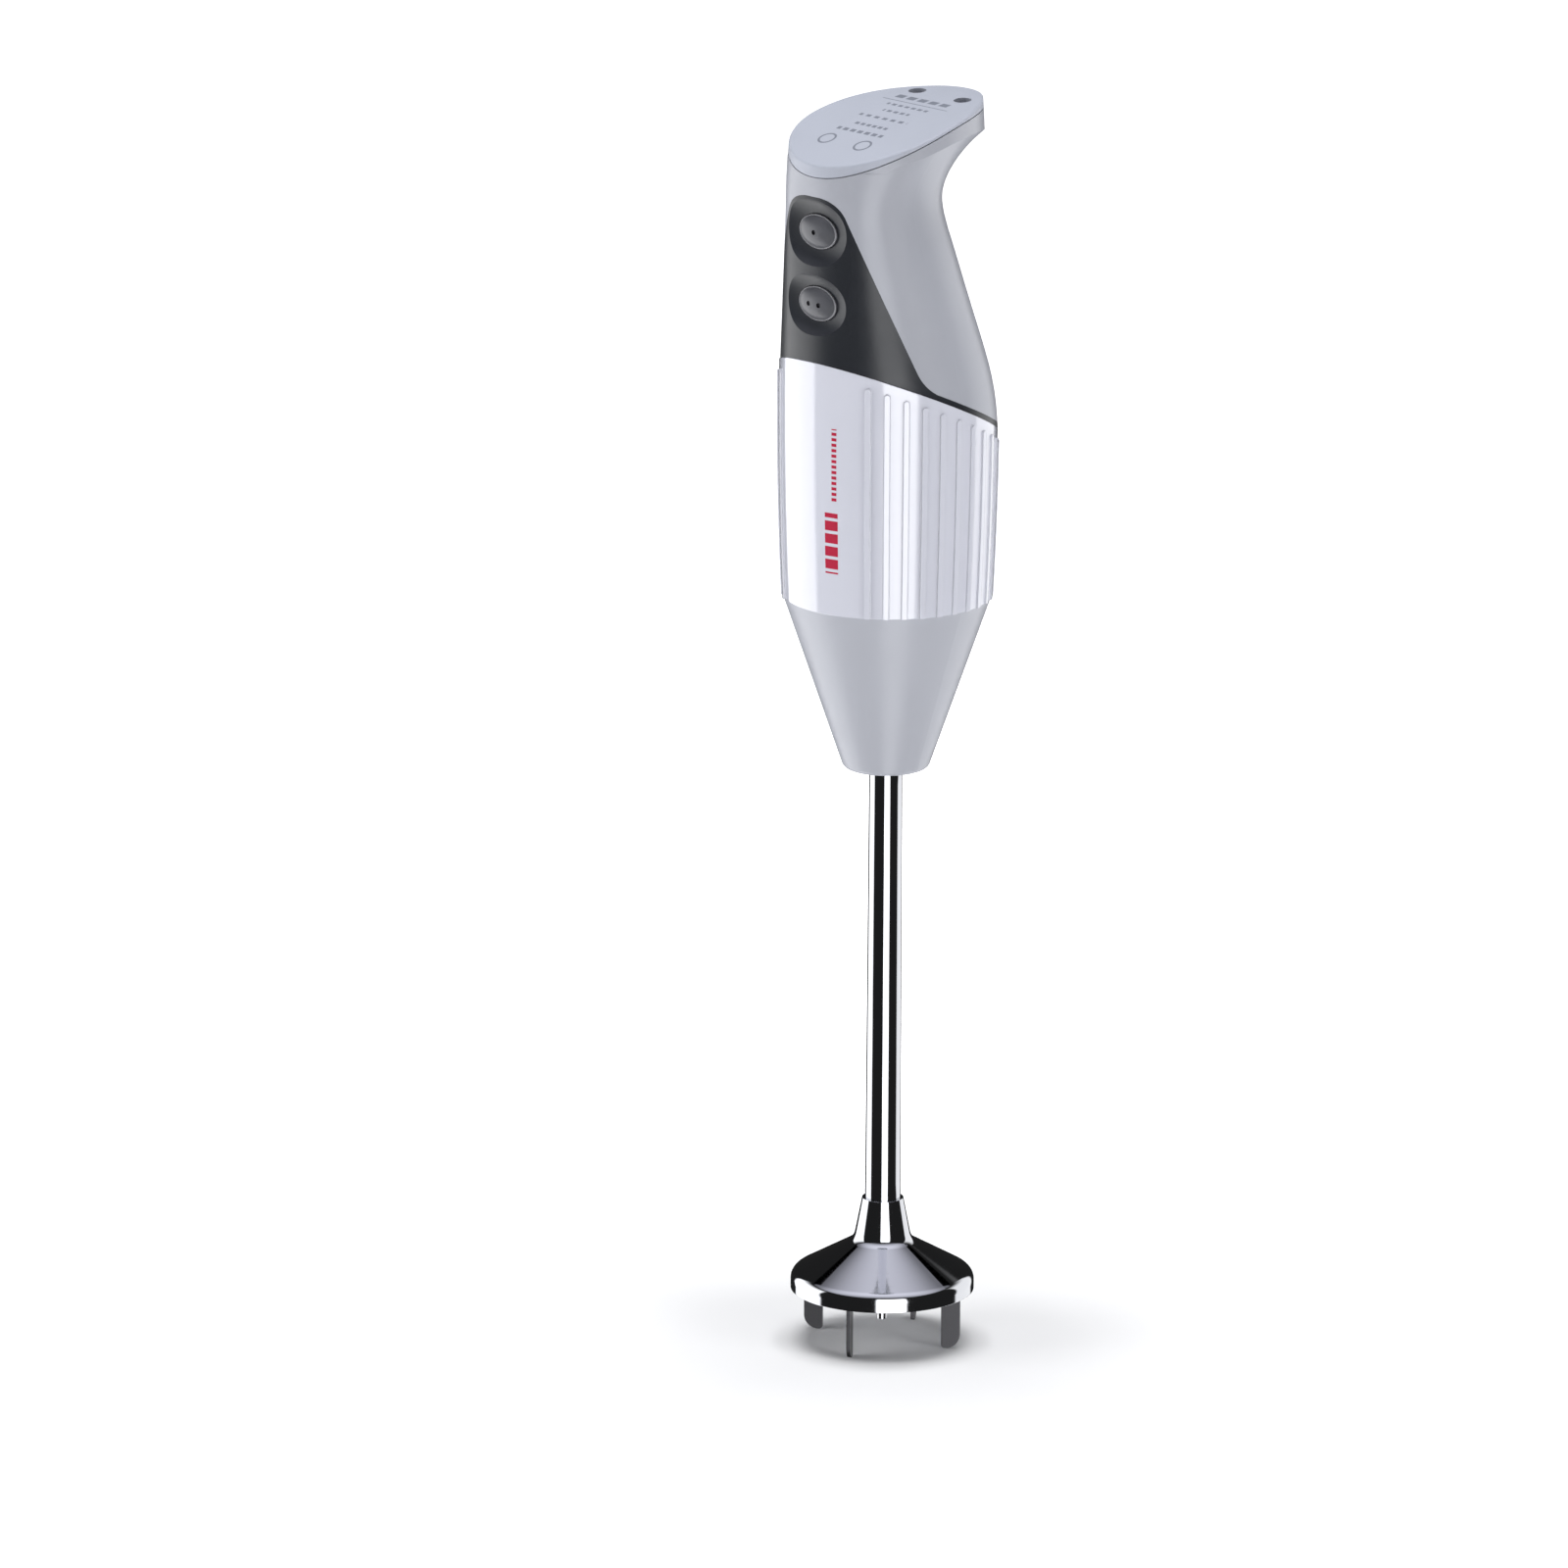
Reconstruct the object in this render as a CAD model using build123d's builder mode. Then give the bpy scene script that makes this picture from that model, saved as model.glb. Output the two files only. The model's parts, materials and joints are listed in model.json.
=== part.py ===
from build123d import *
import os
from math import atan2, cos, degrees, radians, sin, sqrt, tan

# A wand blender standing on the four legs of its blade guard.  Millimetres, +Z up.
# The origin is on the drive shaft's axis, level with the leg tips.  The buttons face -Y
# and the beak of the handle points to +Y.

os.makedirs("parts", exist_ok=True)

# ---- driving dimensions -------------------------------------------------------------

FIT = 0.04  # radial running clearance of the turning shafts
REACH = 60.0  # half size of the blocks that cut or fill beyond the whole object

# blade guard
LEG_COUNT = 4
FIRST_LEG_ANGLE = -70.3
LEG_TWIST = 16.0
LEG_THICKNESS = 1.2
LEG_HALF_WIDTH = 2.9
LEG_PLACE = 23.4
LEG_TOPS = (24.9, 21.5)
LEG_OUTER_CORNER = 4.5
LEG_INNER_CORNER = 1.0
RIM_RADIUS = 28.3
RIM_BOTTOM = 16.7
RIM_CORNER = 21.5
RIM_ROUND = 3.5
SKIRT_TOP = 32.6
NECK_BASE_RADIUS = 8.9
NECK_TOP_RADIUS = 6.4
NECK_TOP = 45.6
NECK_FILLET = 4.0
GUARD_WALL = 1.3
BELL_CEILING = 31.1
SHAFT_SEAL_RADIUS = 4.5
SHAFT_SEAL_TOP = 35.1

# long shaft
TUBE_BOTTOM = 36.0
TUBE_TOP = 203.0
TUBE_BOTTOM_RADIUS = 5.5
TUBE_TOP_RADIUS = 5.1
TUBE_BORE = 3.8
SPINDLE_RADIUS = 2.5
FREE_END_RADIUS = 1.9
SPINDLE_BOTTOM = 6.5
SPINDLE_TOP = 209.0
SPINDLE_TIP_RADIUS = 1.5
SPINDLE_TIP_LENGTH = 2.0
SPINDLE_GROOVE_DEPTH = 0.35
SPINDLE_SHOULDER = 30.0
NUT_BOTTOM = 197.0
SEAL_GROOVE = (184.4, 186.2)
SEAL_GROOVE_RADIUS = 6.9

# nose cone and motor casing
NOSE_BOTTOM = 183.0
NOSE_BOTTOM_RADIUS = 13.0
NOSE_EDGE_ROUND = 2.3
CASING_BOTTOM = 237.3
CASING_BOTTOM_RADIUS = 31.8
BODY_RADIUS = 33.3
BODY_FULL_HEIGHT = 300.0
WALL = 2.2
SPIGOT_OUTER = CASING_BOTTOM_RADIUS - WALL - 0.3
SPIGOT_INNER = SPIGOT_OUTER - 1.4
CUT_HEIGHT = 300.0
CUT_SLOPE = -0.458
COLLAR_THICKNESS = 1.9
RIB_COUNT = 30
RIB_FIRST_ANGLE = 34.0
RIB_WIDTH = 1.8
RIB_HEIGHT = 0.6
RIB_TOP_GAP = 3.4

# handle
WAIST_HEIGHT = 363.0
WAIST_CENTRE = -12.0
WAIST_HALF_WIDTH = 22.0
WAIST_FRONT = -32.95
WAIST_REAR = 14.3
WAIST_FRONT_POWER = 2.5
HANDLE_BASE = 284.0
FLARE_BASE = 287.0
WAIST_ROUND = 8.0
FLARE_ROUND = 27.0
BEAK_POWER = 1.75
CAP_CENTRE = -6.4
CAP_HALF_WIDTH = 26.4
CAP_REAR = 34.8
CAP_TIP_RADIUS = 14.4
CAP_DRAFT = 3.0
CAP_TOP_ARC = 166.7
CAP_TOP_APEX = (33.8, 389.93)
SEAM_ARC = 96.0
SEAM_APEX = (18.5, 387.0)
SEAM_GAP = 0.35
BAND_ARC = 65.0
BAND_APEX = (10.0, 382.6)
BAND_LINE_START = -3.0
CAP_PRISM_BASE = 375.0
CAP_LOWEST = 368.0
CAP_EDGE_ROUND = 0.9
CAP_SCREW_X = 9.6
CAP_SCREW_Y = 21.2
CAP_RECESS_RADIUS = 2.75
CAP_FLOOR = 386.0
CAP_BOSS_BOTTOM = 384.3
CAP_BOSS_RADIUS = 3.3
BOSS_RADIUS = 3.6

# control panel and buttons
PANEL_FLANK_TOP = (-13.4, 360.8)
PANEL_FLANK_BOTTOM = (8.6, 313.4)
PANEL_TOP = (-22.0, 366.3)
PANEL_HEEL = (14.4, 306.7)
BUTTON_HEIGHTS = (355.2, 333.0)
DISH_FLOOR = -29.6
DISH_BALL_CENTRE = -36.0
DISH_BALL_HALF_WIDTH = 20.8
DISH_BALL_HALF_HEIGHTS = (11.6, 10.5)
PAD_BACK = -27.3
PAD_HALF_WIDTH = 13.5
PAD_HEIGHTS = (321.0, 366.0)
BUTTON_HALF_WIDTH = 7.8
BUTTON_HALF_HEIGHT = 5.3
BUTTON_RIM = -30.9
BUTTON_BACK = -27.2
BUTTON_APEX = -32.7
BUTTON_LEDGE = 0.42
BUTTON_GAP = 0.2
DOME_CENTRE = -28.5
DOT_RADIUS = 0.75
DOT_DEPTH = 0.7
DOT_PITCH = 4.2
FLANGE_MARGIN = 1.2
FLANGE_BACK = -26.2
SWITCH_FRONT = -24.2
SWITCH_BORE_END = -21.2
PLUNGER_RADIUS = 1.5
PLUNGER_FRONT = -26.0
PLUNGER_LENGTH = 3.1
BOARD_FRONT = -21.0
BOARD_BACK = -19.4
BOARD_HALF_WIDTH = 12.5
BOARD_HEIGHTS = (319.0, 371.0)
BOARD_SCREW_X = 9.5
BOARD_SCREW_HEIGHT = 344.0

# motor
MOTOR_SHAFT_RADIUS = 2.5
MOTOR_SHAFT_TOP = 316.0
CORE_BOTTOM = 247.0
CORE_TOP = 283.0
CORE_RADIUS = 27.0
CORE_WIDTH = 44.0
CORE_BORE = 14.4
ARMATURE_RADIUS = 14.0
ARMATURE_SLOTS = 12
COMMUTATOR_RADIUS = 8.0
COMMUTATOR_BOTTOM = 291.0
COMMUTATOR_TOP = 303.0
COMMUTATOR_BARS = 24
BRUSH_HEIGHT = 297.0
MOTOR_SCREW_Y = 23.6
BEARING_FIT_RADIUS = MOTOR_SHAFT_RADIUS + FIT
SLOT_RADIUS = 1.9
SLOT_PLACE = 10.6
COIL_HEIGHTS = (243.2, 286.8)
BRACKET_BOTTOM = 239.0
BRACKET_SEAT = 242.3
UPPER_PLATE = (304.5, 308.5)

# shaft coupling
COUPLING_RADIUS = 6.5
COUPLING_BASE = 205.0
COUPLING_GAP = 5.2
JAW_WIDTH = 3.0
JAW_INNER = 3.0
JAW_CLEARANCE = 0.2
DISC_THICKNESS = 4.0

# cord inlet in the beak
CORD_BORE = 2.5
CORD_BUSH_RADIUS = 3.3
CORD_HEIGHT = 382.0
CORD_BUSH_ENDS = (28.5, 34.9)


# ---- shared shapes ------------------------------------------------------------------


def turned(profile):
    """A solid turned about the shaft axis from its (radius, height) corners."""
    with BuildPart() as blank:
        with BuildSketch(Plane.XZ):
            with BuildLine():
                Polyline(*profile, close=True)
            make_face()
        revolve(axis=Axis.Z)
    return blank.part


def ring(outer_radius, inner_radius, bottom, top):
    """A plain ring about the shaft axis."""
    corners = [(inner_radius, bottom), (outer_radius, bottom), (outer_radius, top), (inner_radius, top)]
    return turned(corners)


def cut_height(y, rise=0.0):
    """Height of the sloping cut between casing and handle, raised by `rise`."""
    return CUT_HEIGHT + CUT_SLOPE * y + rise


def below_cut(rise):
    """A block that fills everything under the sloping cut, raised by `rise`."""
    with BuildPart() as block:
        with BuildSketch(Plane.YZ):
            with BuildLine():
                Polyline(
                    (-REACH, cut_height(-REACH, rise)),
                    (REACH, cut_height(REACH, rise)),
                    (REACH, NOSE_BOTTOM),
                    (-REACH, NOSE_BOTTOM),
                    close=True,
                )
            make_face()
        extrude(amount=REACH, both=True)
    return block.part


def below_arc(apex, radius, rise=0.0):
    """A block that fills everything under an arched surface that runs along X."""

    def arch(y):
        return apex[1] + rise - radius + sqrt(radius**2 - (y - apex[0]) ** 2)

    with BuildPart() as block:
        with BuildSketch(Plane.YZ):
            with BuildLine():
                ThreePointArc((-REACH, arch(-REACH)), (apex[0], apex[1] + rise), (REACH, arch(REACH)))
                Polyline(
                    (REACH, arch(REACH)),
                    (REACH, HANDLE_BASE),
                    (-REACH, HANDLE_BASE),
                    (-REACH, arch(-REACH)),
                )
            make_face()
        extrude(amount=REACH, both=True)
    return block.part


def ellipsoid(centre, half_axes):
    """A ball stretched to three half axes."""
    with BuildPart() as ball:
        Sphere(1.0)
        scale(by=half_axes)
    return ball.part.moved(Location(centre))


def block(x_limits, y_limits, z_limits):
    """A plain block between its limits."""
    limits = (x_limits, y_limits, z_limits)
    with BuildPart() as shape:
        with Locations(tuple(sum(pair) / 2 for pair in limits)):
            Box(*[pair[1] - pair[0] for pair in limits])
    return shape.part


def rods(places, radius, bottom, top):
    """Round rods along Z at each (x, y)."""
    with BuildPart() as shape:
        with BuildSketch(Plane.XY.offset(bottom)):
            with Locations(*places):
                Circle(radius)
        extrude(amount=top - bottom)
    return shape.part


def cross_rods(places, radius, front, back):
    """Round rods along Y at each (x, z)."""
    with BuildPart() as shape:
        with BuildSketch(Plane.XZ.offset(-back)):
            with Locations(*places):
                Circle(radius)
        extrude(amount=back - front)
    return shape.part


def oval_rod(height, margin, front, back):
    """An oval block along Y that is `margin` larger than a button all round."""
    with BuildPart() as shape:
        with BuildSketch(Plane.XZ.offset(-back)):
            with Locations((0, height)):
                Ellipse(BUTTON_HALF_WIDTH + margin, BUTTON_HALF_HEIGHT + margin)
        extrude(amount=back - front)
    return shape.part


# ---- outline of the cap and the handle ----------------------------------------------

# The cap's outline is an egg of three tangent arcs: a half circle in front, two long side
# arcs and a small one at the beak.  Heights of its parts are found from one long arch.
CAP_TIP_CENTRE = CAP_REAR - CAP_TIP_RADIUS
CAP_TIP_REACH = CAP_TIP_CENTRE - CAP_CENTRE
CAP_SIDE_RADIUS = (CAP_HALF_WIDTH**2 + CAP_TIP_REACH**2 - CAP_TIP_RADIUS**2) / (
    2 * (CAP_HALF_WIDTH - CAP_TIP_RADIUS)
)
CAP_SIDE_CENTRE = CAP_HALF_WIDTH - CAP_SIDE_RADIUS
CAP_SIDE_SWEEP = atan2(CAP_TIP_REACH, -CAP_SIDE_CENTRE)
OUTLINE_STEPS = 48
LOFT_HEIGHTS = (
    (284, 290, 297, 305, 314, 326, 338, 348, 355, 360, 363)
    + (366.5, 370, 373.5, 377, 380.5, 384, 388, 392)
)


def cap_point(angle, inset):
    """Point of the cap's outline in one direction from its centre."""
    join = atan2(
        (CAP_SIDE_RADIUS - inset) * sin(CAP_SIDE_SWEEP),
        CAP_SIDE_CENTRE + (CAP_SIDE_RADIUS - inset) * cos(CAP_SIDE_SWEEP),
    )
    across = abs(cos(angle))
    along = sin(angle)
    if along <= 0:
        reach = CAP_HALF_WIDTH - inset
    elif atan2(along, across) < join:
        side = CAP_SIDE_RADIUS - inset
        reach = CAP_SIDE_CENTRE * across + sqrt(side**2 - (CAP_SIDE_CENTRE * along) ** 2)
    else:
        tip = CAP_TIP_RADIUS - inset
        reach = CAP_TIP_REACH * along + sqrt(tip**2 - (CAP_TIP_REACH * across) ** 2)
    return Vector(reach * cos(angle), CAP_CENTRE + reach * along)


def waist_point(angle, inset):
    """Point of the waist's outline, rounder behind than in front."""
    width = WAIST_HALF_WIDTH - inset
    if sin(angle) < 0:
        depth = WAIST_CENTRE - WAIST_FRONT - inset
        power = WAIST_FRONT_POWER
    else:
        depth = WAIST_REAR - WAIST_CENTRE - inset
        power = 2.0
    reach = (abs(cos(angle) / width) ** power + abs(sin(angle) / depth) ** power) ** (-1 / power)
    return Vector(reach * cos(angle), WAIST_CENTRE + reach * sin(angle))


def base_share(height):
    """How far the outline has gone from the waist to the round body, 0 to 1."""
    slope = 1 / (WAIST_HEIGHT - FLARE_BASE - (WAIST_ROUND + FLARE_ROUND) / 2)
    if height > WAIST_HEIGHT - WAIST_ROUND:
        return slope * (WAIST_HEIGHT - height) ** 2 / (2 * WAIST_ROUND)
    if height > FLARE_BASE + FLARE_ROUND:
        return slope * (WAIST_HEIGHT - height - WAIST_ROUND / 2)
    return 1 - slope * max(height - FLARE_BASE, 0) ** 2 / (2 * FLARE_ROUND)


def band_height(y):
    """Height on the cap's outline where the upright band under the seam begins."""
    start = BAND_LINE_START - BAND_APEX[0]
    if y > BAND_LINE_START:
        return BAND_APEX[1] - (y - BAND_APEX[0]) ** 2 / (2 * BAND_ARC)
    return BAND_APEX[1] - start**2 / (2 * BAND_ARC) - start / BAND_ARC * (y - BAND_LINE_START)


def beak_share(height, y):
    """How far the outline has gone from the waist to the cap's, and on past it."""
    rise = (height - WAIST_HEIGHT) / (band_height(y) - WAIST_HEIGHT)
    if rise > 1:
        return 1 + BEAK_POWER * (rise - 1)
    return rise**BEAK_POWER


def handle_outline(height, inset):
    """Points around the handle at one height, `inset` inside its outer surface."""
    points = []
    for step in range(OUTLINE_STEPS):
        angle = radians(step * 360 / OUTLINE_STEPS)
        waist = waist_point(angle, inset)
        if height <= WAIST_HEIGHT:
            target = Vector(cos(angle), sin(angle)) * (BODY_RADIUS - inset)
            share = base_share(height)
        else:
            target = cap_point(angle, inset)
            share = beak_share(height, target.Y)
        points.append(waist + (target - waist) * share)
    return points


def cap_prism(inset, bottom):
    """The cap's outline drawn up from one height, leaning in by its draft."""
    inset -= (CAP_PRISM_BASE - bottom) * tan(radians(CAP_DRAFT))
    side = CAP_SIDE_RADIUS - inset
    sweep = degrees(CAP_SIDE_SWEEP)
    with BuildPart() as prism:
        with BuildSketch(Plane.XY.offset(bottom)):
            with BuildLine():
                CenterArc((0, CAP_CENTRE), CAP_HALF_WIDTH - inset, 180, 180)
                CenterArc((CAP_SIDE_CENTRE, CAP_CENTRE), side, 0, sweep)
                CenterArc((0, CAP_TIP_CENTRE), CAP_TIP_RADIUS - inset, sweep, 180 - 2 * sweep)
                CenterArc((-CAP_SIDE_CENTRE, CAP_CENTRE), side, 180 - sweep, sweep)
            make_face()
        extrude(amount=LOFT_HEIGHTS[-1] + 2 - bottom, taper=CAP_DRAFT)
    return prism.part


def handle_body(inset):
    """The handle's solid form under the cap seam, `inset` inside its outer surface."""
    with BuildPart() as limit:
        with Locations((0, 0, CAP_PRISM_BASE)):
            Box(2 * REACH, 2 * REACH, 2 * REACH, align=(Align.CENTER, Align.CENTER, Align.MAX))
        add(cap_prism(inset, CAP_PRISM_BASE))
    with BuildPart() as body:
        for height in LOFT_HEIGHTS:
            with BuildSketch(Plane.XY.offset(height)):
                with BuildLine():
                    Spline(*handle_outline(height, inset), periodic=True)
                make_face()
        loft()
        add(limit.part, mode=Mode.INTERSECT)
    return body.part


def panel_region():
    """Everything that the dark panel takes of the handle's wall, seen from each side."""
    right_side = Plane(origin=(0, 0, 0), x_dir=(1, 1, 0), z_dir=(1, -1, 0))
    with BuildPart() as region:
        with BuildSketch(right_side):
            with BuildLine():
                Line((-REACH, PANEL_TOP[1]), PANEL_TOP)
                TangentArc(PANEL_TOP, PANEL_FLANK_TOP, tangent=(1, 0))
                flank = Line(PANEL_FLANK_TOP, PANEL_FLANK_BOTTOM)
                TangentArc(PANEL_FLANK_BOTTOM, PANEL_HEEL, tangent=flank % 1)
                Polyline(
                    PANEL_HEEL,
                    (PANEL_HEEL[0], CASING_BOTTOM),
                    (-REACH, CASING_BOTTOM),
                    (-REACH, PANEL_TOP[1]),
                )
            make_face()
        extrude(amount=2 * REACH, both=True)
        mirror(about=Plane.YZ, mode=Mode.INTERSECT)
        add(below_cut(COLLAR_THICKNESS))
    return region.part


# ---- handle shell, control panel and cap --------------------------------------------

outer_form = handle_body(0)
inner_form = handle_body(WALL)
dark_region = panel_region()
handle_top = below_arc(SEAM_APEX, SEAM_ARC)
cap_seat = below_arc(SEAM_APEX, SEAM_ARC, SEAM_GAP)
cap_screw_places = [(-CAP_SCREW_X, CAP_SCREW_Y), (CAP_SCREW_X, CAP_SCREW_Y)]

with BuildPart() as cap_bosses:
    add(rods(cap_screw_places, BOSS_RADIUS, WAIST_HEIGHT, CAP_BOSS_BOTTOM))
    add(outer_form, mode=Mode.INTERSECT)

with BuildPart() as handle_shell:
    add(outer_form)
    add(inner_form, mode=Mode.SUBTRACT)
    add(handle_top, mode=Mode.INTERSECT)
    add(dark_region, mode=Mode.SUBTRACT)
    add(cap_bosses.part)
    add(rods(cap_screw_places, 1.25, CAP_PRISM_BASE, LOFT_HEIGHTS[-1]), mode=Mode.SUBTRACT)
    pockets = rods(cap_screw_places, CAP_BOSS_RADIUS + 0.15, CAP_BOSS_BOTTOM, LOFT_HEIGHTS[-1])
    add(pockets, mode=Mode.SUBTRACT)
    add(cross_rods([(0, CORD_HEIGHT)], CORD_BUSH_RADIUS, CORD_BUSH_ENDS[0], REACH), mode=Mode.SUBTRACT)
handle_shell.part.label = "handle_shell"
export_step(handle_shell.part, "parts/handle_shell.step")

board_posts = [(-BOARD_SCREW_X, BOARD_SCREW_HEIGHT), (BOARD_SCREW_X, BOARD_SCREW_HEIGHT)]

with BuildPart() as dark_wall:
    add(outer_form)
    add(inner_form, mode=Mode.SUBTRACT)

with BuildPart() as button_pad:
    add(outer_form)
    add(block((-PAD_HALF_WIDTH, PAD_HALF_WIDTH), (-REACH, PAD_BACK), PAD_HEIGHTS), mode=Mode.INTERSECT)

with BuildPart() as collar_step:
    add(ring(BODY_RADIUS - 1.7, BODY_RADIUS - 3.9, HANDLE_BASE, BODY_FULL_HEIGHT + BODY_RADIUS))
    add(below_cut(0), mode=Mode.SUBTRACT)

with BuildPart() as spigot:
    add(ring(BODY_RADIUS - 2.6, BODY_RADIUS - 3.9, CASING_BOTTOM, BODY_FULL_HEIGHT + BODY_RADIUS))
    add(below_cut(0), mode=Mode.INTERSECT)
    add(below_cut(-4.0), mode=Mode.SUBTRACT)

with BuildPart() as control_panel:
    add(dark_wall.part)
    add(button_pad.part)
    add(collar_step.part)
    add(dark_region, mode=Mode.INTERSECT)
    add(below_cut(0), mode=Mode.SUBTRACT)
    add(spigot.part)
    add(cross_rods(board_posts, 3.0, PAD_BACK - 0.5, BOARD_FRONT))
    add(cross_rods(board_posts, 1.2, PAD_BACK + 1.5, BOARD_FRONT), mode=Mode.SUBTRACT)
    for height, half_height in zip(BUTTON_HEIGHTS, DISH_BALL_HALF_HEIGHTS):
        depth = DISH_FLOOR - DISH_BALL_CENTRE
        dish = ellipsoid((0, DISH_BALL_CENTRE, height), (DISH_BALL_HALF_WIDTH, depth, half_height))
        add(dish, mode=Mode.SUBTRACT)
        add(oval_rod(height, BUTTON_GAP, -REACH, PAD_BACK + 1), mode=Mode.SUBTRACT)
control_panel.part.label = "control_panel"
export_step(control_panel.part, "parts/control_panel.step")

with BuildPart() as cap_lip:
    add(cap_prism(WALL + 0.35, CAP_LOWEST))
    add(cap_prism(WALL + 1.75, CAP_LOWEST), mode=Mode.SUBTRACT)
    add(below_arc(SEAM_APEX, SEAM_ARC, SEAM_GAP + 0.5), mode=Mode.INTERSECT)
    add(below_arc(SEAM_APEX, SEAM_ARC, -1.8), mode=Mode.SUBTRACT)
    add(rods(cap_screw_places, BOSS_RADIUS + 0.3, CAP_PRISM_BASE, LOFT_HEIGHTS[-1]), mode=Mode.SUBTRACT)
    add(cross_rods([(0, CORD_HEIGHT)], CORD_BUSH_RADIUS + 0.2, 0, REACH), mode=Mode.SUBTRACT)

with BuildPart() as top_cap:
    add(cap_prism(0, CAP_LOWEST))
    add(below_arc(CAP_TOP_APEX, CAP_TOP_ARC), mode=Mode.INTERSECT)
    add(cap_seat, mode=Mode.SUBTRACT)
    fillet(faces().filter_by(GeomType.CYLINDER).sort_by(Axis.Z)[-1].edges(), CAP_EDGE_ROUND)
    add(cap_lip.part)
    add(rods(cap_screw_places, CAP_BOSS_RADIUS, CAP_BOSS_BOTTOM, CAP_FLOOR + 2.5))
    add(rods(cap_screw_places, CAP_RECESS_RADIUS, CAP_FLOOR, LOFT_HEIGHTS[-1]), mode=Mode.SUBTRACT)
    add(rods(cap_screw_places, 1.6, CAP_PRISM_BASE, LOFT_HEIGHTS[-1]), mode=Mode.SUBTRACT)
top_cap.part.label = "top_cap"
export_step(top_cap.part, "parts/top_cap.step")

with BuildPart() as cap_screws:
    add(rods(cap_screw_places, 1.25, CAP_FLOOR - 9.0, CAP_FLOOR))
    add(rods(cap_screw_places, 2.45, CAP_FLOOR, CAP_FLOOR + 1.4))
    with BuildSketch(Plane.XY.offset(CAP_FLOOR + 0.6)):
        with Locations(*cap_screw_places):
            Rectangle(2.8, 0.6)
            Rectangle(0.6, 2.8)
    extrude(amount=1.0, mode=Mode.SUBTRACT)
cap_screws.part.label = "cap_screws"
export_step(cap_screws.part, "parts/cap_screws.step")

with BuildPart() as cord_bush:
    add(cross_rods([(0, CORD_HEIGHT)], CORD_BUSH_RADIUS, *CORD_BUSH_ENDS))
    add(cross_rods([(0, CORD_HEIGHT)], CORD_BORE, *CORD_BUSH_ENDS), mode=Mode.SUBTRACT)
cord_bush.part.label = "cord_bush"
export_step(cord_bush.part, "parts/cord_bush.step")


# ---- buttons, switches and circuit board --------------------------------------------


def button(height, dots):
    """A domed oval key with a retaining flange behind and dimples at each x of `dots`."""
    dome_depth = DOME_CENTRE - BUTTON_APEX
    at_rim = sqrt(1 - ((DOME_CENTRE - BUTTON_RIM) / dome_depth) ** 2)
    dome_width = (BUTTON_HALF_WIDTH - BUTTON_LEDGE) / at_rim
    dome_height = (BUTTON_HALF_HEIGHT - BUTTON_LEDGE) / at_rim
    with BuildPart() as dome:
        add(ellipsoid((0, DOME_CENTRE, height), (dome_width, dome_depth, dome_height)))
        add(oval_rod(height, 0, -REACH, BUTTON_RIM + 0.5), mode=Mode.INTERSECT)
    with BuildPart() as key:
        add(oval_rod(height, 0, BUTTON_RIM, BUTTON_BACK))
        fillet(faces().sort_by(Axis.Y)[0].edges(), 0.25)
        add(dome.part)
        add(oval_rod(height, FLANGE_MARGIN, BUTTON_BACK, FLANGE_BACK))
        add(cross_rods([(0, height)], 2.0, FLANGE_BACK, PLUNGER_FRONT))
        places = [(x, height) for x in dots]
        add(cross_rods(places, DOT_RADIUS, -REACH, BUTTON_APEX + DOT_DEPTH), mode=Mode.SUBTRACT)
    return key.part


def switch_body(height):
    """The housing of one micro switch, open towards its button."""
    with BuildPart() as housing:
        add(block((-5, 5), (SWITCH_FRONT, BOARD_FRONT), (height - 4, height + 4)))
        bore = cross_rods([(0, height)], PLUNGER_RADIUS + 0.1, SWITCH_FRONT, SWITCH_BORE_END)
        add(bore, mode=Mode.SUBTRACT)
    return housing.part


def plunger(height):
    """The pin of one micro switch, pushed by its button."""
    return cross_rods([(0, height)], PLUNGER_RADIUS, PLUNGER_FRONT, PLUNGER_FRONT + PLUNGER_LENGTH)


with BuildPart() as upper_button:
    add(button(BUTTON_HEIGHTS[0], [0]))
upper_button.part.label = "upper_button"
export_step(upper_button.part, "parts/upper_button.step")

with BuildPart() as lower_button:
    add(button(BUTTON_HEIGHTS[1], [-DOT_PITCH / 2, DOT_PITCH / 2]))
lower_button.part.label = "lower_button"
export_step(lower_button.part, "parts/lower_button.step")

with BuildPart() as upper_switch_body:
    add(switch_body(BUTTON_HEIGHTS[0]))
upper_switch_body.part.label = "upper_switch_body"
export_step(upper_switch_body.part, "parts/upper_switch_body.step")

with BuildPart() as lower_switch_body:
    add(switch_body(BUTTON_HEIGHTS[1]))
lower_switch_body.part.label = "lower_switch_body"
export_step(lower_switch_body.part, "parts/lower_switch_body.step")

with BuildPart() as upper_switch_plunger:
    add(plunger(BUTTON_HEIGHTS[0]))
upper_switch_plunger.part.label = "upper_switch_plunger"
export_step(upper_switch_plunger.part, "parts/upper_switch_plunger.step")

with BuildPart() as lower_switch_plunger:
    add(plunger(BUTTON_HEIGHTS[1]))
lower_switch_plunger.part.label = "lower_switch_plunger"
export_step(lower_switch_plunger.part, "parts/lower_switch_plunger.step")

with BuildPart() as circuit_board:
    add(block((-BOARD_HALF_WIDTH, BOARD_HALF_WIDTH), (BOARD_FRONT, BOARD_BACK), BOARD_HEIGHTS))
    add(cross_rods(board_posts, 1.4, BOARD_FRONT, BOARD_BACK), mode=Mode.SUBTRACT)
circuit_board.part.label = "circuit_board"
export_step(circuit_board.part, "parts/circuit_board.step")

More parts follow.
